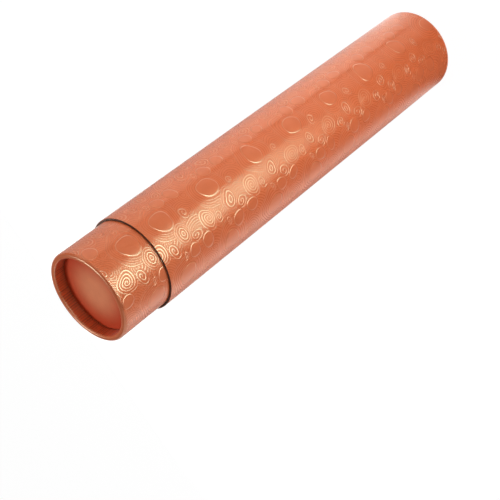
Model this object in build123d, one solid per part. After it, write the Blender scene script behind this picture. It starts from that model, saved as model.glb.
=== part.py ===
from build123d import *
from math import pi
import os

# Telescopic poster tube: two paper-wrapped board tubes, the inner one sliding in the outer one.
# Each tube is closed at one end by a disc set back inside its rim, and open at the other end.
# The wrap of each tube is turned in over the rim of the closed end and gathered there in fine pleats.
# The outer tube stands on its closed end at z = 0, with the axis on Z. The inner tube stands in it
# with its closed end up, pushed home until its open end meets the disc of the outer tube.
# All sizes are in millimetres.

# Outer tube
outer_diameter = 80.0
outer_length = 395.4
outer_board_wall = 1.4
outer_recess_depth = 9.5
outer_rim_rounding_outside = 0.7
outer_rim_rounding_inside = 0.5

# Inner tube, which stands out of the outer tube's mouth by the reveal
reveal_length = 47.4
inner_board_wall = 4.0
inner_recess_depth = 9.5
inner_rim_rounding_outside = 2.2
inner_rim_rounding_inside = 1.5

# Wrap of embossed paper, and the pleats of the part that is turned in over a rim
wrap_thickness = 0.25
turn_in_past_disc = 2.5
turn_in_short_of_disc_back = 0.5
pleat_pitch = 2.0
pleat_height = 0.3
pleat_lean = 0.7

# Discs
disc_thickness = 1.5
disc_edge_rounding = 0.25

# Clearances, all measured on the radius
sliding_clearance = 0.35
disc_clearance = 0.2

# Sizes that follow from the ones above
outer_radius = outer_diameter / 2
inner_radius = outer_radius - wrap_thickness - outer_board_wall - sliding_clearance
outer_floor = outer_recess_depth + disc_thickness
total_length = outer_length + reveal_length
inner_length = total_length - outer_floor
outer_turn_in = outer_floor - turn_in_short_of_disc_back
inner_turn_in = inner_recess_depth + disc_thickness + turn_in_past_disc


def hollow_cylinder(outside, inside, low, high, rounding_outside, rounding_inside):
    """A tube from low to high on Z whose lower rim is rounded outside and inside."""
    stand = Align.CENTER, Align.CENTER, Align.MIN
    tube = Cylinder(outside, high - low, align=stand) - Cylinder(inside, high - low, align=stand)
    lower_rim = tube.edges().group_by(Axis.Z)[0].sort_by(SortBy.RADIUS)
    tube = fillet(lower_rim[-1], rounding_outside)
    lower_rim = tube.edges().filter_by(GeomType.CIRCLE).group_by(Axis.Z)[0].sort_by(SortBy.RADIUS)
    tube = fillet(lower_rim[0], rounding_inside)
    return Pos(0, 0, low) * tube


def board_tube(radius, wall, length, rounding_outside, rounding_inside):
    """The bare board tube inside a wrap of the given outside radius, closed end down."""
    outside = radius - wrap_thickness
    return hollow_cylinder(
        outside,
        outside - wall,
        wrap_thickness,
        length,
        rounding_outside - wrap_thickness,
        rounding_inside - wrap_thickness,
    )


def pleated_ring(bore, wall_radius, low, high):
    """The gathered paper of a turn-in: a ring whose inside is a row of pleats folded one way."""
    count = round(2 * pi * wall_radius / pleat_pitch)
    corners = []
    for pleat in range(count):
        valley = Vector(wall_radius, 0).rotate(Axis.Z, 360 * pleat / count)
        crest = Vector(wall_radius - pleat_height, 0).rotate(Axis.Z, 360 * (pleat + pleat_lean) / count)
        corners += [valley, crest]
    section = Circle(bore) - make_face(Polyline(*corners, close=True))
    return Pos(0, 0, low) * extrude(section, high - low)


def wrap_skin(board, radius, wall, length, turn_in, rounding_outside, rounding_inside):
    """The paper on a board tube: its outside, its rim and the pleated turn-in, closed end down."""
    bore = radius - wrap_thickness - wall
    wall_radius = bore - wrap_thickness
    envelope = hollow_cylinder(radius, wall_radius, 0, length, rounding_outside, rounding_inside)
    past_rim = Pos(0, 0, rounding_inside) * Cylinder(
        bore + wall / 2, length, align=(Align.CENTER, Align.CENTER, Align.MIN)
    )
    return envelope - board - past_rim + pleated_ring(bore, wall_radius, rounding_inside, turn_in)


def end_disc(radius, wall, recess_depth):
    """The paper-faced disc that closes a tube, set back from the rim, closed end down."""
    edge = radius - wrap_thickness - wall - wrap_thickness - pleat_height - disc_clearance
    disc = Cylinder(edge, disc_thickness, align=(Align.CENTER, Align.CENTER, Align.MIN))
    face_edge = disc.edges().group_by(Axis.Z)[0]
    return Pos(0, 0, recess_depth) * fillet(face_edge, disc_edge_rounding)


def wrapped_tube(radius, wall, length, recess_depth, turn_in, rounding_outside, rounding_inside):
    """Board, wrap and disc of one tube, closed end down with its rim on z = 0."""
    board = board_tube(radius, wall, length, rounding_outside, rounding_inside)
    wrap = wrap_skin(board, radius, wall, length, turn_in, rounding_outside, rounding_inside)
    return board, wrap, end_disc(radius, wall, recess_depth)


outer_tube, outer_wrap, outer_end_disc = wrapped_tube(
    outer_radius,
    outer_board_wall,
    outer_length,
    outer_recess_depth,
    outer_turn_in,
    outer_rim_rounding_outside,
    outer_rim_rounding_inside,
)

# The inner tube is made closed end down as well, then turned over and stood in the outer one
closed_end_up = Location((0, 0, total_length), (180, 0, 0))
inner_tube, inner_wrap, inner_end_disc = [
    closed_end_up * piece
    for piece in wrapped_tube(
        inner_radius,
        inner_board_wall,
        inner_length,
        inner_recess_depth,
        inner_turn_in,
        inner_rim_rounding_outside,
        inner_rim_rounding_inside,
    )
]

nodes = {
    "outer_tube": outer_tube,
    "outer_wrap": outer_wrap,
    "outer_end_disc": outer_end_disc,
    "inner_tube": inner_tube,
    "inner_wrap": inner_wrap,
    "inner_end_disc": inner_end_disc,
}

os.makedirs("parts", exist_ok=True)
for name, piece in nodes.items():
    export_step(piece, f"parts/{name}.step")
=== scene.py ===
import math
import random
import bpy
from mathutils import Matrix, Vector


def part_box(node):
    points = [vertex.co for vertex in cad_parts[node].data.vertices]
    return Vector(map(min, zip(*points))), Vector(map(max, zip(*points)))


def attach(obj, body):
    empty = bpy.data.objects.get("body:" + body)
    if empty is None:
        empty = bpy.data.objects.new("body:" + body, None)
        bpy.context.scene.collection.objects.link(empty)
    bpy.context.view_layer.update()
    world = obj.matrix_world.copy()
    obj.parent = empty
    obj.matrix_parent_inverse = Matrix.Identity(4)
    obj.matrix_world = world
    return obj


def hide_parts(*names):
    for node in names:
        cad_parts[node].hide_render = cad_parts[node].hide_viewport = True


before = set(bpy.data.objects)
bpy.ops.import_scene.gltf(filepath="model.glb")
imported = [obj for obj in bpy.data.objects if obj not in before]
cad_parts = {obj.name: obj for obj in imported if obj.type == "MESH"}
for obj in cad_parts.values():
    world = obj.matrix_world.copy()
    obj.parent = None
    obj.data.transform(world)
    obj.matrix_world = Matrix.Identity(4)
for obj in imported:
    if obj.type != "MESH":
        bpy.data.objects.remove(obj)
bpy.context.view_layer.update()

MM = 0.001

# Sizes of the wrapped tubes in millimetres, beside those read from the frame. A rim is rounded by the
# first number outside and by the second inside.
PAPER = 0.25
PLEAT_PITCH = 2.0
PLEAT_HEIGHT = 0.3
DISC_CLEARANCE = 0.2
INNER_RIM_ROUNDING = (2.2, 1.5)
OUTER_RIM_ROUNDING = (0.7, 0.5)
TURN_IN_PAST_DISC = 2.5
TURN_IN_SHORT_OF_DISC_BACK = 0.5

# A pleat's valley, slope, crest and steep back: place in the pitch, share of the pleat's height, and how
# far it follows the crest's shift. Each pleat's height, painted fold shade and shift vary between these
# shares.
PLEAT_COLUMNS = [(0.0, 0.0, 0.0), (0.3, 0.35, 0.0), (0.62, 1.0, 1.0), (0.85, 0.4, 0.5)]
PLEAT_HEIGHT_SHARES = (0.35, 1.0)
FOLD_SHADE_SHARES = (0.15, 1.0)
CREST_SHIFTS = (-0.12, 0.12)

# The lengthwise lap of each wrap, at the back of the tube
LAP_ANGLE = math.radians(62)
LAP_WIDTH = 9.0
LAP_STEP = 0.12

# Rows of points along a wrap's section: steps in each bend of the rim, over how many of them the embossing
# fades out, how far from a bend the face and the turn-in have a row, and where the turn-in has one more.
# Then the angle from which an edge is sharp.
BEND_STEPS = 8
FADE_STEPS = 4
FACE_MARGIN = 1.5
TURN_IN_MARGIN = 1.0
TURN_IN_MIDDLE = 0.6
SHARP_EDGE = math.radians(50)

# Embossing: one repeat of the pattern in millimetres. Each figure is a disc of rings, given by its place
# around and along the sheet, its radius, the radius of its plain middle, its size along the sheet against
# that around it, the pitch of its lines, how high its lines stand, how high its middle stands, and which
# way its line winds inwards (0 for closed rings). Later figures lie over earlier ones, like scales.
REPEAT_AROUND = 48.0
REPEAT_ALONG = 53.0
FIGURES = [
    (24.0, 12.0, 17.0, 0.0, 1.0, 1.95, 0.028, 0.0, 1),
    (23.0, 41.0, 17.0, 0.0, 1.0, 1.95, 0.028, 0.0, 0),
    (-20.0, 24.0, 15.0, 0.0, 1.0, 1.95, 0.028, 0.0, 0),
    (-21.0, 52.0, 15.0, 0.0, 1.0, 1.95, 0.028, 0.0, 0),
    (14.0, 44.0, 12.0, 0.0, 1.0, 1.95, 0.028, 0.0, 1),
    (2.0, 14.0, 12.0, 0.0, 1.0, 1.95, 0.034, 0.0, 0),
    (-3.0, 40.0, 13.0, 0.0, 1.0, 1.95, 0.034, 0.0, -1),
    (20.0, 19.0, 18.0, 16.0, 1.0, 1.95, 0.045, 0.0, 0),
    (20.0, 19.0, 16.0, 0.0, 1.0, 1.95, 0.028, 0.0, 0),
    (0.0, 0.0, 9.0, 0.0, 1.0, 2.2, 0.06, 0.0, 1),
    (2.5, 27.0, 10.5, 0.0, 0.8, 1.95, 0.035, 0.0, 0),
    (2.5, 27.0, 6.6, 0.0, 0.75, 3.0, 0.17, 0.0, 0),
    (20.0, 19.0, 9.8, 8.0, 1.0, 1.95, 0.028, 0.3, 0),
    (-14.5, 30.0, 7.0, 5.4, 1.0, 1.95, 0.028, 0.25, 0),
    (-13.5, 46.5, 6.8, 5.0, 1.0, 1.95, 0.028, 0.25, 0),
    (-5.0, 37.5, 5.4, 0.0, 1.0, 2.6, 0.14, 0.0, -1),
    (-4.0, 13.0, 5.0, 0.0, 0.8, 2.5, 0.14, 0.0, 1),
    (14.4, 40.0, 4.0, 0.0, 1.0, 2.4, 0.17, 0.0, 1),
    (-12.0, 20.0, 3.4, 0.0, 0.7, 2.2, 0.12, 0.0, -1),
]
# Foot and top of a line's ridge on its wave from -1 to 1
RIDGE = (0.05, 0.92)
# Where the lines round a plain middle begin, and where the middle slopes up, in millimetres outside its edge
LINES_BEGIN = (0.3, 0.8)
MIDDLE_SLOPE = (0.8, -0.2)
# The flank of a middle is this much of its slope to each side of half its height, and it is burnished as a
# line would be that had this share of the middle's height
FLANK = 0.42
FLANK_SHARE = 0.1
# A line this high is pressed hard enough to be fully burnished
BURNISHED_HEIGHT = 0.06
# Gloss from 0 to 1: the plain middles shine about as much as the lined ground does on the whole, and the
# paper drawn over a rim more
PLAIN_GLOSS = 0.18
RIM_GLOSS = 0.45
# Where each sheet was laid on: how far round from its lap, and along from its upper end, the first figures
# fall
OUTER_SHEET_START = (141.5, 4.0)
INNER_SHEET_START = (134.5, 18.0)

# Paper, in millimetres. The engraver's hand: how far the figures wander from true circles, and over what
# length
WANDER = 8.0
WANDER_LENGTH = 20.0
# Tooth of the paper, drawn coarser than the 0.3 mm of the real one so that it shows, and the cloudiness of
# its fibres
TOOTH_SIZE = 0.8
TOOTH_HEIGHT = 0.02
CLOUD_SIZE = 9.0
# Painted light brightens the turned-in paper most at the rim, and fades out at this depth below it
RECESS_LIGHT_DEPTH = 11.0
# Painted light and shade on a disc's paper: pale within the first radius, and darker and redder from the
# second outwards, where the recess wall shades it
PALE_MIDDLE_RADIUS = 6.0
EDGE_SHADE_RADIUS = 31.0

# Wound board, in millimetres: thickness of a ply, how far the ply's seam climbs in one turn, its width, the
# size of the flecks, and the depth of the whole relief
PLY = 0.35
SEAM_CLIMB = 90.0
SEAM_WIDTH = 0.8
FLECK_SIZE = 1.6
BOARD_RELIEF = 0.06

# Rays that see the surroundings as plain white; the others carry their light to the object
SEEN_BY = ("Is Camera Ray", "Is Glossy Ray", "Is Transmission Ray")
# Light of the surroundings near the horizon and overhead, and how high overhead begins
SKY_LIGHT = (0.3, 0.2)
OVERHEAD = 0.7
# The floor's half width in metres, its glow where it is seen, and the share of that glow, which leaves the
# rest to the object's shadow
FLOOR_HALF = 6.0
FLOOR_GLOW = 1.07
FLOOR_GLOW_SHARE = 0.9

# The floor card in metres, and its level by bearing in degrees from the front, close to the tube and far
# from it. A ramp's colours end at 1, so they hold the levels against the highest one.
CARD_SIDE = 1.0
CARD_FRONT = 0.97
CARD_HEIGHT = 0.002
NEAR_LEVELS = [
    (-180, 0.05), (-140, 0.2), (-105, 0.95), (-66, 0.0), (0, 0.0), (28, 0.8), (70, 1.7), (180, 0.15)
]
FAR_LEVELS = [
    (-180, 0.1), (-140, 0.5), (-115, 1.9), (-70, 0.0), (0, 0.0), (35, 0.0), (70, 1.15), (180, 0.25)
]
HIGHEST_LEVEL = 2.0
LEVELS_REACH = (0.1, 0.75)
# Its bright strips before and behind the tube: bearing, half width and soft edge in degrees, and level.
# They rise over this reach from the tube, and their colour deepens with their level by this share.
STRIPS = [(-11, 25, 6, 6.9), (180, 18, 6, 7.0)]
STRIPS_RISE = (0.16, 0.52)
STRIPS_TINT = 0.3

# Bottom of the upright cards, and the levels of the bright window and of the dark flags
UPRIGHT_BOTTOM = 0.003
WINDOW_LEVEL = 9.0
EDGE_FLAG_LEVEL = 0.05
FLAG_LEVEL = 0.08

# Soft boxes: place and target, width and height in metres, watts, and whether they show in gloss
SOFT_BOXES = [
    ("key_light", (0.45, -0.52, 0.2), (0, 0, 0.2), 0.5, 0.2, 2.95, False),
    ("left_fill", (-0.75, -0.35, 0.1), (0, 0, 0.15), 0.6, 0.2, 3.6, False),
    ("back_fill", (0.1, 0.9, 0.1), (0, 0, 0.15), 0.8, 0.2, 4.0, False),
    ("high_light", (0.25, 0.43, 1.31), (0, 0, 0.44), 0.3, 0.3, 5.0, True),
]

# Camera in millimetres, from the perspective of the photograph, with the tube standing on its closed end
CAMERA_PLACE = Vector((0.0, -697.7, 811.2))
CAMERA_TARGET = Vector((-48.2, -3.3, 302.0))
CAMERA_ROLL = math.radians(-129.6)
SENSOR_WIDTH = 36.0
LENS = 77.37


def srgb(code):
    """Linear colour, with alpha, of an sRGB hex value such as "c86840"."""
    parts = [int(code[i:i + 2], 16) / 255 for i in (0, 2, 4)]
    return [p / 12.92 if p <= 0.04045 else ((p + 0.055) / 1.055) ** 2.4 for p in parts] + [1.0]


def connect(tree, node, inputs):
    """Sets or links a node's inputs, given by name or number."""
    for key, value in inputs.items():
        if isinstance(value, bpy.types.NodeSocket):
            tree.links.new(value, node.inputs[key])
        else:
            node.inputs[key].default_value = value


def add(tree, kind, inputs=None, **settings):
    """Adds a shader node with its settings, and sets or links its inputs."""
    node = tree.nodes.new("ShaderNode" + kind)
    for name, value in settings.items():
        setattr(node, name, value)
    connect(tree, node, inputs or {})
    return node


def empty_tree(owner):
    """The node tree of a material or world, with nothing in it."""
    owner.use_nodes = True
    owner.node_tree.nodes.clear()
    return owner.node_tree


def new_material(name):
    """A material with its tree and its shader."""
    material = bpy.data.materials.new(name)
    tree = empty_tree(material)
    shader = add(tree, "BsdfPrincipled")
    add(tree, "OutputMaterial", {"Surface": shader.outputs[0]})
    return material, tree, shader


def embossing(tree, sheet):
    """The pressed figures, laid over each other and repeated over the sheet.

    Gives the lines, the gloss and the burnishing, each from 0 to 1, and the height in millimetres.
    """
    half_repeat = (REPEAT_AROUND / 2, REPEAT_ALONG / 2, 1.0)
    top = {"phase": math.pi, "from_middle": 1.0, "line_height": 0.0, "middle_height": 0.0}
    for around, along, radius, plain, oblong, pitch, line_height, middle_height, winds in FIGURES:
        offset = add(tree, "VectorMath", {0: sheet, 1: (around, along, 0.0)}, operation="SUBTRACT")
        nearest = add(
            tree,
            "VectorMath",
            {0: offset.outputs[0], 1: half_repeat, 2: tuple(-side for side in half_repeat)},
            operation="WRAP",
        )
        stretch = (1.0, 1.0 / oblong, 0.0)
        oval = add(tree, "VectorMath", {0: nearest.outputs[0], 1: stretch}, operation="MULTIPLY").outputs[0]
        reach = add(tree, "VectorMath", {0: oval}, operation="LENGTH").outputs["Value"]
        inside = add(tree, "Math", {0: reach, 1: radius}, operation="LESS_THAN").outputs[0]
        line = 2 * math.pi / pitch
        at_edge = math.pi - radius * line
        phase = add(tree, "Math", {0: reach, 1: line, 2: at_edge}, operation="MULTIPLY_ADD").outputs[0]
        if winds:
            axes = add(tree, "SeparateXYZ", {0: oval}).outputs
            turn = add(tree, "Math", {0: axes["Y"], 1: axes["X"]}, operation="ARCTAN2").outputs[0]
            phase = add(
                tree, "Math", {0: turn, 1: float(winds), 2: phase}, operation="MULTIPLY_ADD"
            ).outputs[0]
        figure = {
            "phase": phase,
            "from_middle": add(tree, "Math", {0: reach, 1: plain}, operation="SUBTRACT").outputs[0],
            "line_height": line_height,
            "middle_height": middle_height,
        }
        for part, value in figure.items():
            top[part] = add(tree, "Mix", {"Factor": inside, "A": top[part], "B": value}).outputs[0]

    wave = add(tree, "Math", {0: top["phase"]}, operation="COSINE").outputs[0]
    ridge = add(
        tree,
        "MapRange",
        {"Value": wave, "From Min": RIDGE[0], "From Max": RIDGE[1]},
        interpolation_type="SMOOTHSTEP",
    ).outputs[0]
    lined = add(
        tree,
        "MapRange",
        {"Value": top["from_middle"], "From Min": LINES_BEGIN[0], "From Max": LINES_BEGIN[1]},
        interpolation_type="SMOOTHSTEP",
    ).outputs[0]
    middle = add(
        tree,
        "MapRange",
        {"Value": top["from_middle"], "From Min": MIDDLE_SLOPE[0], "From Max": MIDDLE_SLOPE[1]},
        interpolation_type="SMOOTHSTEP",
    ).outputs[0]
    lines = add(tree, "Math", {0: ridge, 1: lined}, operation="MULTIPLY").outputs[0]
    line_relief = add(tree, "Math", {0: lines, 1: top["line_height"]}, operation="MULTIPLY").outputs[0]
    height = add(
        tree, "Math", {0: middle, 1: top["middle_height"], 2: line_relief}, operation="MULTIPLY_ADD"
    ).outputs[0]

    flank = add(tree, "Math", {0: middle, 1: 0.5, 2: FLANK}, operation="COMPARE").outputs[0]
    flank = add(tree, "Math", {0: flank, 1: top["middle_height"]}, operation="MULTIPLY").outputs[0]
    hard = add(tree, "Math", {0: flank, 1: FLANK_SHARE, 2: line_relief}, operation="MULTIPLY_ADD").outputs[0]
    burnished = add(
        tree, "Math", {0: hard, 1: BURNISHED_HEIGHT}, operation="DIVIDE", use_clamp=True
    ).outputs[0]
    plain = add(tree, "Math", {0: 1.0, 1: lined}, operation="SUBTRACT").outputs[0]
    gloss = add(
        tree, "Math", {0: plain, 1: PLAIN_GLOSS, 2: burnished}, operation="MULTIPLY_ADD", use_clamp=True
    ).outputs[0]
    return lines, gloss, burnished, height


def embossed_copper_paper():
    """Paper coated with copper pearl pigment and pressed between engraved rolls.

    The pearl gives a warm satin that turns pale at grazing sight. The pressed lines are burnished glossier
    than the ground, so they flash gold where they turn towards the light and are hardly seen elsewhere.
    Over the rim it is drawn smooth. Painted shade darkens its folds; painted light brightens its turn-in.
    """
    material, tree, shader = new_material("embossed_copper_pearl_paper")
    sheet = add(tree, "UVMap", uv_map="unrolled_mm").outputs[0]
    pressed = add(tree, "Attribute", attribute_name="pressed").outputs["Fac"]
    painted_fold_shade = add(tree, "Attribute", attribute_name="painted_fold_shade").outputs["Fac"]
    painted_recess_light = add(tree, "Attribute", attribute_name="painted_recess_light").outputs["Fac"]
    tooth = add(tree, "TexNoise", {"Vector": sheet, "Scale": 1 / TOOTH_SIZE, "Detail": 2.0}).outputs["Fac"]
    clouds = add(tree, "TexNoise", {"Vector": sheet, "Scale": 1 / CLOUD_SIZE, "Detail": 3.0}).outputs["Fac"]
    hand = add(
        tree, "TexNoise", {"Vector": sheet, "Scale": 1 / WANDER_LENGTH, "Detail": 0.0}
    ).outputs["Color"]
    drawn = add(tree, "VectorMath", {0: hand, 1: (WANDER, WANDER, 0.0), 2: sheet}, operation="MULTIPLY_ADD")
    lines, gloss, burnished, height = [
        add(tree, "Math", {0: share, 1: pressed}, operation="MULTIPLY").outputs[0]
        for share in embossing(tree, drawn.outputs[0])
    ]

    colour = add(
        tree, "Mix", {"Factor": clouds, "A": srgb("cc6036"), "B": srgb("da6c3e")}, data_type="RGBA"
    ).outputs["Result"]
    # Burnished lines a little paler; painted shade in the folds, and painted light on the turn-in near the
    # rim
    tone = 1.0
    for share, full_tone in ((burnished, 1.04), (painted_fold_shade, 0.45), (painted_recess_light, 1.6)):
        part = add(tree, "MapRange", {"Value": share, "To Min": 1.0, "To Max": full_tone}).outputs[0]
        tone = add(tree, "Math", {0: tone, 1: part}, operation="MULTIPLY").outputs[0]
    colour = add(tree, "VectorMath", {0: colour, "Scale": tone}, operation="SCALE").outputs[0]

    # The lines that are too low to be fully burnished are the smoothest, and the tooth roughens all alike
    fine = add(tree, "Math", {0: lines, 1: burnished}, operation="SUBTRACT", use_clamp=True).outputs[0]
    roughness = add(tree, "MapRange", {"Value": fine, "To Min": 0.25, "To Max": 0.09}).outputs[0]
    roughness = add(tree, "Math", {0: tooth, 1: 0.1, 2: roughness}, operation="MULTIPLY_ADD").outputs[0]
    gloss = add(tree, "Mix", {"Factor": pressed, "A": RIM_GLOSS, "B": gloss}).outputs[0]
    gloss = add(tree, "MapRange", {"Value": gloss, "To Min": 0.17, "To Max": 1.0}).outputs[0]
    surface = add(tree, "Math", {0: tooth, 1: TOOTH_HEIGHT, 2: height}, operation="MULTIPLY_ADD").outputs[0]
    bump = add(tree, "Bump", {"Height": surface, "Distance": MM, "Strength": 1.0}).outputs[0]

    # The level on the whole, for an export that drops the linked one
    shader.inputs["Specular IOR Level"].default_value = 0.35
    # The coat's IOR lies between those of its binder, 1.5, and of the oxide on its flakes, 2.5
    finish = {
        "Base Color": colour,
        "Roughness": roughness,
        "Specular IOR Level": gloss,
        "Normal": bump,
        "IOR": 2.0,
        "Specular Tint": srgb("ffe9c2"),
        "Sheen Weight": 0.12,
        "Sheen Roughness": 0.4,
    }
    connect(tree, shader, finish)
    return material


def plain_copper_paper():
    """The same coated paper left unpressed and glued to a disc.

    It is a faintly cloudy copper with a fine tooth and a soft satin. Painted light and shade make it pale in
    the middle and deeper red towards the edge, where the recess wall shades it.
    """
    material, tree, shader = new_material("plain_copper_pearl_paper")
    place = add(tree, "TexCoord").outputs["Object"]
    tooth = add(
        tree, "TexNoise", {"Vector": place, "Scale": 1 / (TOOTH_SIZE * MM), "Detail": 2.0}
    ).outputs["Fac"]
    clouds = add(
        tree, "TexNoise", {"Vector": place, "Scale": 1 / (CLOUD_SIZE * MM), "Detail": 3.0}
    ).outputs["Fac"]
    across = add(tree, "VectorMath", {0: place, 1: (1.0, 1.0, 0.0)}, operation="MULTIPLY").outputs[0]
    from_centre = add(tree, "VectorMath", {0: across}, operation="LENGTH").outputs["Value"]
    # Painted light and shade on the disc: pale in the middle, deeper red towards the edge, where the recess
    # wall shades it
    drawn = add(
        tree,
        "MapRange",
        {"Value": from_centre, "From Min": PALE_MIDDLE_RADIUS * MM, "From Max": EDGE_SHADE_RADIUS * MM},
        interpolation_type="SMOOTHSTEP",
    ).outputs[0]
    colour = add(
        tree, "Mix", {"Factor": drawn, "A": srgb("e88b61"), "B": srgb("c34018")}, data_type="RGBA"
    ).outputs["Result"]
    tone = add(tree, "MapRange", {"Value": clouds, "To Min": 0.9, "To Max": 1.1}).outputs[0]
    colour = add(tree, "VectorMath", {0: colour, "Scale": tone}, operation="SCALE").outputs[0]
    roughness = add(tree, "MapRange", {"Value": tooth, "To Min": 0.45, "To Max": 0.6}).outputs[0]
    bump = add(tree, "Bump", {"Height": tooth, "Distance": TOOTH_HEIGHT * MM, "Strength": 1.0}).outputs[0]
    finish = {
        "Base Color": colour,
        "Roughness": roughness,
        "Normal": bump,
        "IOR": 1.5,
        "Specular IOR Level": 0.2,
    }
    connect(tree, shader, finish)
    return material


def grey_board():
    """Recycled board, spiral-wound from plies and cut raw.

    It is matt and grey-brown with darker and paler flecks. Its cut edge shows the plies as fine rings, and
    its walls the seam of the ply, which climbs round them.
    """
    material, tree, shader = new_material("raw_cut_wound_grey_board")
    place = add(tree, "TexCoord").outputs["Object"]
    axes = add(tree, "SeparateXYZ", {0: place}).outputs
    across = add(tree, "VectorMath", {0: place, 1: (1.0, 1.0, 0.0)}, operation="MULTIPLY").outputs[0]
    radius = add(tree, "VectorMath", {0: across}, operation="LENGTH").outputs["Value"]
    flecks = add(
        tree, "TexNoise", {"Vector": place, "Scale": 1 / (FLECK_SIZE * MM), "Detail": 4.0}
    ).outputs["Fac"]
    ply = 2 * math.pi / (PLY * MM)
    ring = add(tree, "Math", {0: radius, 1: ply, 2: flecks}, operation="MULTIPLY_ADD").outputs[0]
    plies = add(tree, "Math", {0: ring}, operation="COSINE").outputs[0]

    # The seam lies where the turn round the tube and the climb add up to a whole number of turns
    turn = add(tree, "Math", {0: axes["Y"], 1: axes["X"]}, operation="ARCTAN2").outputs[0]
    climb = add(tree, "Math", {0: axes["Z"], 1: 1 / (SEAM_CLIMB * MM)}, operation="MULTIPLY").outputs[0]
    turns = add(tree, "Math", {0: turn, 1: 1 / (2 * math.pi), 2: climb}, operation="MULTIPLY_ADD").outputs[0]
    from_seam = add(tree, "Math", {0: turns, 1: 0.5}, operation="PINGPONG").outputs[0]
    half_seam = SEAM_WIDTH / SEAM_CLIMB / 2
    seam = add(tree, "MapRange", {"Value": from_seam, "From Min": half_seam, "From Max": 0.0}).outputs[0]

    colour = add(tree, "ValToRGB", {0: flecks})
    stops = colour.color_ramp.elements
    stops[0].position = 0.3
    stops[0].color = srgb("5f4e45")
    stops[1].position = 0.72
    stops[1].color = srgb("948276")
    middle = stops.new(0.5)
    middle.color = srgb("78655a")
    ply_tone = add(
        tree, "MapRange", {"Value": plies, "From Min": -1.0, "To Min": 0.78, "To Max": 1.0}
    ).outputs[0]
    seam_tone = add(tree, "MapRange", {"Value": seam, "To Min": 1.0, "To Max": 0.6}).outputs[0]
    tone = add(tree, "Math", {0: ply_tone, 1: seam_tone}, operation="MULTIPLY").outputs[0]
    colour = add(tree, "VectorMath", {0: colour.outputs[0], "Scale": tone}, operation="SCALE").outputs[0]

    relief = add(tree, "Math", {0: plies, 1: 0.15, 2: flecks}, operation="MULTIPLY_ADD").outputs[0]
    relief = add(tree, "Math", {0: relief, 1: seam}, operation="SUBTRACT").outputs[0]
    bump = add(tree, "Bump", {"Height": relief, "Distance": BOARD_RELIEF * MM, "Strength": 1.0}).outputs[0]
    connect(
        tree, shader, {"Base Color": colour, "Normal": bump, "Roughness": 0.92, "Specular IOR Level": 0.1}
    )
    return material


def wrap_section(radius, wall, length, rounding, turn_in):
    """Closed section of a wrap in mm, as (radius, depth below the rim, pleat share, pressed share)."""

    def over_rim(offset):
        """The two bends of the rim, this far inside the face of the paper."""
        outside = rounding[0] - offset
        inside = rounding[1] - offset
        turns = [math.pi / 2 * step / BEND_STEPS for step in range(BEND_STEPS + 1)]
        bends = [
            (radius - rounding[0] + outside * math.cos(turn), rounding[0] - outside * math.sin(turn))
            for turn in turns
        ]
        bends += [
            (wall + rounding[1] - inside * math.sin(turn), rounding[1] - inside * math.cos(turn))
            for turn in turns
        ]
        return bends

    section = [(radius, depth, 0.0, 1.0) for depth in (length, length / 2, rounding[0] + FACE_MARGIN)]
    for count, (r, depth) in enumerate(over_rim(0.0)):
        pleat_share = max(0.0, (count - BEND_STEPS) / (BEND_STEPS + 1))
        section.append((r, depth, pleat_share, max(0.0, 1.0 - count / FADE_STEPS)))
    turn_in_rows = (rounding[1] + TURN_IN_MARGIN, turn_in * TURN_IN_MIDDLE, turn_in)
    section += [(wall, depth, 1.0, 0.0) for depth in turn_in_rows]
    section.append((wall + PAPER, turn_in, 0.0, 0.0))
    section += [(r, depth, 0.0, 0.0) for r, depth in reversed(over_rim(PAPER))]
    section.append((radius - PAPER, length, 0.0, 0.0))
    return section


def pleat_columns(name, wall):
    """Columns of points round a wrap, as (turn from the lap, pleat height, painted shade of its fold there).
    """
    chance = random.Random(name)
    count = round(2 * math.pi * wall / PLEAT_PITCH)
    columns = []
    for pleat in range(count):
        height = PLEAT_HEIGHT * chance.uniform(*PLEAT_HEIGHT_SHARES)
        fold_shade = chance.uniform(*FOLD_SHADE_SHARES)
        shift = chance.uniform(*CREST_SHIFTS)
        for place, share, follows in PLEAT_COLUMNS:
            turn = (pleat + (place + shift * follows)) / count * 2 * math.pi
            columns.append((turn, height * share, fold_shade * (1.0 - share)))
    return columns


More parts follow.
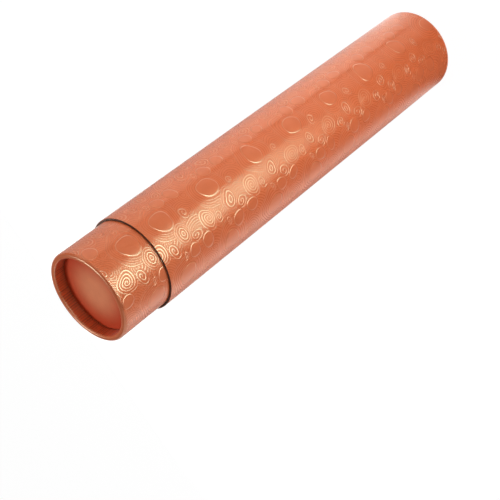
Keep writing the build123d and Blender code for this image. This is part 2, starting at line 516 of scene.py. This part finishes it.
def wrap(name, node, body, wall, rounding, turn_in, closed_end_up, sheet_start, material):
    """The paper of one tube, with its lap at the back and its turn-in gathered in uneven pleats."""
    low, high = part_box(node)
    radius = min(high.x, high.y) / MM
    length = (high.z - low.z) / MM
    rim = (high.z if closed_end_up else low.z) / MM
    inward = -1.0 if closed_end_up else 1.0
    section = wrap_section(radius, wall, length, rounding, turn_in)
    columns = pleat_columns(name, wall)

    verts = []
    fold_shades = []
    for turn, pleat, fold_shade in columns:
        angle = LAP_ANGLE + turn
        lap = LAP_STEP * max(0.0, 1.0 - turn * radius / LAP_WIDTH)
        for r, depth, pleat_share, pressed in section:
            reach = r - pleat * pleat_share + lap * pressed
            x = reach * math.cos(angle) * MM
            y = reach * math.sin(angle) * MM
            verts.append((x, y, (rim + inward * depth) * MM))
            # Painted shade in the folds of the turn-in, darkest in each pleat's valley
            fold_shades.append(fold_shade * pleat_share)

    # Faces between neighbouring columns and rows, and where their corners lie on the unrolled sheet
    rows = len(section)
    faces = []
    sheet = []
    for column in range(len(columns)):
        after = (column + 1) % len(columns)
        turns = columns[column][0], columns[after][0] if after else 2 * math.pi
        for row in range(rows):
            following = (row + 1) % rows
            corners = [(column, row, turns[0]), (after, row, turns[1])]
            corners += [(after, following, turns[1]), (column, following, turns[0])]
            if not closed_end_up:
                corners.reverse()
            faces.append([c * rows + r for c, r, _ in corners])
            for _, place, turn in corners:
                along = section[place][1] if closed_end_up else length - section[place][1]
                sheet.append((turn * radius - sheet_start[0], along - sheet_start[1]))

    mesh = bpy.data.meshes.new(name)
    mesh.from_pydata(verts, [], faces)
    unrolled = mesh.uv_layers.new(name="unrolled_mm")
    for loop, place in zip(unrolled.data, sheet):
        loop.uv = place
    # Painted light on the turned-in paper: strongest at the rim, gone at the given depth down the recess
    painted_recess_light = [pleat_share * max(0.0, 1.0 - depth / RECESS_LIGHT_DEPTH) for _, depth, pleat_share, _ in section]
    shares = {
        "pressed": [pressed for _, _, _, pressed in section] * len(columns),
        "painted_recess_light": painted_recess_light * len(columns),
        "painted_fold_shade": fold_shades,
    }
    for share, values in shares.items():
        attribute = mesh.attributes.new(share, "FLOAT", "POINT")
        attribute.data.foreach_set("value", values)
    mesh.shade_smooth()
    mesh.set_sharp_from_angle(angle=SHARP_EDGE)
    mesh.materials.append(material)
    piece = bpy.data.objects.new(name, mesh)
    bpy.context.scene.collection.objects.link(piece)
    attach(piece, body)
    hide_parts(node)


def dress_tubes():
    """Wraps in place of the plain CAD ones, and finishes on the boards and discs."""
    paper = embossed_copper_paper()
    disc_low, disc_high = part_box("inner_end_disc")
    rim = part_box("inner_wrap")[1].z
    wrap(
        "inner_wrap_paper",
        "inner_wrap",
        "inner",
        disc_high.x / MM + DISC_CLEARANCE + PLEAT_HEIGHT,
        INNER_RIM_ROUNDING,
        (rim - disc_low.z) / MM + TURN_IN_PAST_DISC,
        True,
        INNER_SHEET_START,
        paper,
    )
    disc_low, disc_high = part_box("outer_end_disc")
    wrap(
        "outer_wrap_paper",
        "outer_wrap",
        "outer",
        disc_high.x / MM + DISC_CLEARANCE + PLEAT_HEIGHT,
        OUTER_RIM_ROUNDING,
        disc_high.z / MM - TURN_IN_SHORT_OF_DISC_BACK,
        False,
        OUTER_SHEET_START,
        paper,
    )
    board = grey_board()
    disc_paper = plain_copper_paper()
    finishes = {
        "outer_tube": board,
        "inner_tube": board,
        "outer_end_disc": disc_paper,
        "inner_end_disc": disc_paper,
    }
    for node, finish in finishes.items():
        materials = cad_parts[node].data.materials
        materials.clear()
        materials.append(finish)


def seen(tree):
    """1 for a ray that sees the surroundings as plain white, and 0 for the others."""
    path = add(tree, "LightPath")
    share = path.outputs[SEEN_BY[0]]
    for kind in SEEN_BY[1:]:
        share = add(tree, "Math", {0: share, 1: path.outputs[kind]}, operation="MAXIMUM").outputs[0]
    return share


def white_surroundings():
    """A world that is seen as white, and gives the object a soft light that is weaker from above."""
    world = bpy.data.worlds.new("white_studio")
    bpy.context.scene.world = world
    tree = empty_tree(world)
    direction = add(tree, "TexCoord").outputs["Generated"]
    upward = add(tree, "SeparateXYZ", {0: direction}).outputs["Z"]
    light = add(
        tree,
        "MapRange",
        {"Value": upward, "From Max": OVERHEAD, "To Min": SKY_LIGHT[0], "To Max": SKY_LIGHT[1]},
    ).outputs[0]
    strength = add(tree, "Mix", {"Factor": seen(tree), "A": light, "B": 1.0}).outputs[0]
    sky = add(tree, "Background", {"Color": srgb("ffffff"), "Strength": strength})
    add(tree, "OutputWorld", {"Surface": sky.outputs[0]})


def lying(left, front, right, back, height):
    """Corners of a level rectangle."""
    return [(left, front, height), (right, front, height), (right, back, height), (left, back, height)]


def standing(start, end, bottom, top):
    """Corners of an upright rectangle over the line between two places on the floor."""
    return [(*start, bottom), (*end, bottom), (*end, top), (*start, top)]


def stage_sheet(name, corners, material):
    """A flat sheet of the stage, which is no part of the object."""
    mesh = bpy.data.meshes.new(name)
    mesh.from_pydata(corners, [], [(0, 1, 2, 3)])
    mesh.materials.append(material)
    sheet = bpy.data.objects.new(name, mesh)
    bpy.context.scene.collection.objects.link(sheet)
    return sheet


def white_floor():
    """A matt floor that is seen as white and keeps a little of the object's shadow."""
    material = bpy.data.materials.new("white_floor")
    tree = empty_tree(material)
    matt = add(tree, "BsdfDiffuse", {"Color": srgb("f4f4f4")})
    glow = add(tree, "Emission", {"Color": srgb("ffffff"), "Strength": FLOOR_GLOW})
    share = add(tree, "Math", {0: seen(tree), 1: FLOOR_GLOW_SHARE}, operation="MULTIPLY")
    mixed = add(tree, "MixShader", {0: share.outputs[0], 1: matt.outputs[0], 2: glow.outputs[0]})
    add(tree, "OutputMaterial", {"Surface": mixed.outputs[0]})
    stage_sheet("studio_floor", lying(-FLOOR_HALF, -FLOOR_HALF, FLOOR_HALF, FLOOR_HALF, 0.0), material)


def gloss_card(name, corners, colour, level):
    """A glowing sheet of the stage that shows in the gloss alone. Gives its tree and its glow."""
    material = bpy.data.materials.new(name)
    tree = empty_tree(material)
    glow = add(tree, "Emission", {"Color": srgb(colour), "Strength": level})
    add(tree, "OutputMaterial", {"Surface": glow.outputs[0]})
    sheet = stage_sheet(name, corners, material)
    sheet.visible_camera = False
    sheet.visible_diffuse = False
    sheet.visible_shadow = False
    return tree, glow


def floor_glow(tree):
    """Colour and level of the floor card, by bearing from the front and by reach from the tube."""
    place = add(tree, "NewGeometry").outputs["Position"]
    axes = add(tree, "SeparateXYZ", {0: place}).outputs
    front = add(tree, "Math", {0: axes["Y"], 1: -1.0}, operation="MULTIPLY").outputs[0]
    bearing = add(tree, "Math", {0: axes["X"], 1: front}, operation="ARCTAN2").outputs[0]
    reach = add(tree, "VectorMath", {0: place}, operation="LENGTH").outputs["Value"]

    turn = add(tree, "MapRange", {"Value": bearing, "From Min": -math.pi, "From Max": math.pi}).outputs[0]
    levels = []
    for stops in (NEAR_LEVELS, FAR_LEVELS):
        ramp = add(tree, "ValToRGB", {0: turn})
        ramp.color_ramp.interpolation = "EASE"
        points = ramp.color_ramp.elements
        while len(points) < len(stops):
            points.new(0.5)
        for point, (degrees, level) in zip(points, stops):
            point.position = degrees / 360 + 0.5
            point.color = [level / HIGHEST_LEVEL] * 3 + [1.0]
        levels.append(ramp.outputs[0])
    far = add(
        tree, "MapRange", {"Value": reach, "From Min": LEVELS_REACH[0], "From Max": LEVELS_REACH[1]}
    ).outputs[0]
    around = add(
        tree, "Mix", {"Factor": far, "A": levels[0], "B": levels[1]}, data_type="RGBA"
    ).outputs["Result"]
    around = add(tree, "Math", {0: around, 1: HIGHEST_LEVEL}, operation="MULTIPLY").outputs[0]

    strips = 0.0
    for centre, half, soft, level in STRIPS:
        away = add(tree, "Math", {0: bearing, 1: math.radians(centre)}, operation="SUBTRACT").outputs[0]
        away = add(tree, "Math", {0: away, 1: math.pi, 2: -math.pi}, operation="WRAP").outputs[0]
        away = add(tree, "Math", {0: away}, operation="ABSOLUTE").outputs[0]
        strip = add(
            tree,
            "MapRange",
            {"Value": away, "From Min": math.radians(half), "From Max": math.radians(half - soft)},
            interpolation_type="SMOOTHSTEP",
        ).outputs[0]
        strips = add(tree, "Math", {0: strip, 1: level, 2: strips}, operation="MULTIPLY_ADD").outputs[0]
    rise = add(
        tree,
        "MapRange",
        {"Value": reach, "From Min": STRIPS_RISE[0], "From Max": STRIPS_RISE[1]},
        interpolation_type="SMOOTHSTEP",
    ).outputs[0]
    strips = add(tree, "Math", {0: strips, 1: rise}, operation="MULTIPLY").outputs[0]
    tint = add(tree, "Math", {0: strips, 1: STRIPS_TINT}, operation="MULTIPLY", use_clamp=True).outputs[0]
    colour = add(
        tree, "Mix", {"Factor": tint, "A": srgb("ffffff"), "B": srgb("c4ffff")}, data_type="RGBA"
    ).outputs["Result"]
    return colour, add(tree, "Math", {0: strips, 1: around}, operation="ADD").outputs[0]


def cards():
    """Cards that the paper mirrors as its light and dark bands."""
    corners = lying(-CARD_SIDE, -CARD_FRONT, CARD_SIDE, CARD_FRONT, CARD_HEIGHT)
    tree, glow = gloss_card("floor_card", corners, "ffffff", 1.0)
    colour, level = floor_glow(tree)
    connect(tree, glow, {"Color": colour, "Strength": level})

    # The window gives the higher lines their gold further down the tube
    corners = standing((-0.5, -CARD_FRONT), (0.12, -CARD_FRONT), UPRIGHT_BOTTOM, 0.7)
    gloss_card("window_card", corners, "e1fbff", WINDOW_LEVEL)

    # The edge flags keep the front strip out of the tube's edges when it is seen from behind
    for side, near_edge, far_edge in (("left", -0.034, -0.075), ("right", 0.034, 0.046)):
        corners = standing((near_edge, -0.045), (far_edge, -0.045), UPRIGHT_BOTTOM, 0.95)
        gloss_card("edge_flag_" + side, corners, "ffffff", EDGE_FLAG_LEVEL)

    # The other flags keep the white surroundings out of the gloss of the rim and the disc
    flags = {
        "overhead_flag": lying(-1.0, -1.6, 1.6, 1.6, 1.7),
        "back_flag": standing((-0.7, 1.3), (1.59, 1.3), 0.5, 1.69),
        "right_flag": standing((1.6, 0.2), (1.6, 1.6), UPRIGHT_BOTTOM, 1.69),
    }
    for name, corners in flags.items():
        gloss_card(name, corners, "ffffff", FLAG_LEVEL)


def soft_box(name, place, target, width, height, watts, in_gloss):
    """A rectangular lamp turned to its target."""
    lamp = bpy.data.lights.new(name, "AREA")
    lamp.shape = "RECTANGLE"
    lamp.size = width
    lamp.size_y = height
    lamp.energy = watts
    light = bpy.data.objects.new(name, lamp)
    light.location = place
    light.visible_camera = False
    light.visible_glossy = in_gloss
    light.rotation_euler = (Vector(target) - Vector(place)).to_track_quat("-Z", "Y").to_euler()
    bpy.context.scene.collection.objects.link(light)


def studio():
    """White floor and surroundings, and cards and soft boxes round the standing tube."""
    white_surroundings()
    white_floor()
    cards()
    for box in SOFT_BOXES:
        soft_box(*box)


def place_camera():
    """The photograph's eye point, rolled so that the standing tube lies across the frame."""
    lens = bpy.data.cameras.new("camera")
    lens.sensor_width = SENSOR_WIDTH
    lens.lens = LENS
    camera = bpy.data.objects.new("camera", lens)
    level = (CAMERA_TARGET - CAMERA_PLACE).to_track_quat("-Z", "Y").to_matrix().to_4x4()
    camera.matrix_world = Matrix.Translation(CAMERA_PLACE * MM) @ level @ Matrix.Rotation(CAMERA_ROLL, 4, "Z")
    bpy.context.scene.collection.objects.link(camera)
    bpy.context.scene.camera = camera


dress_tubes()
studio()
place_camera()
bpy.context.scene.view_settings.view_transform = "Standard"
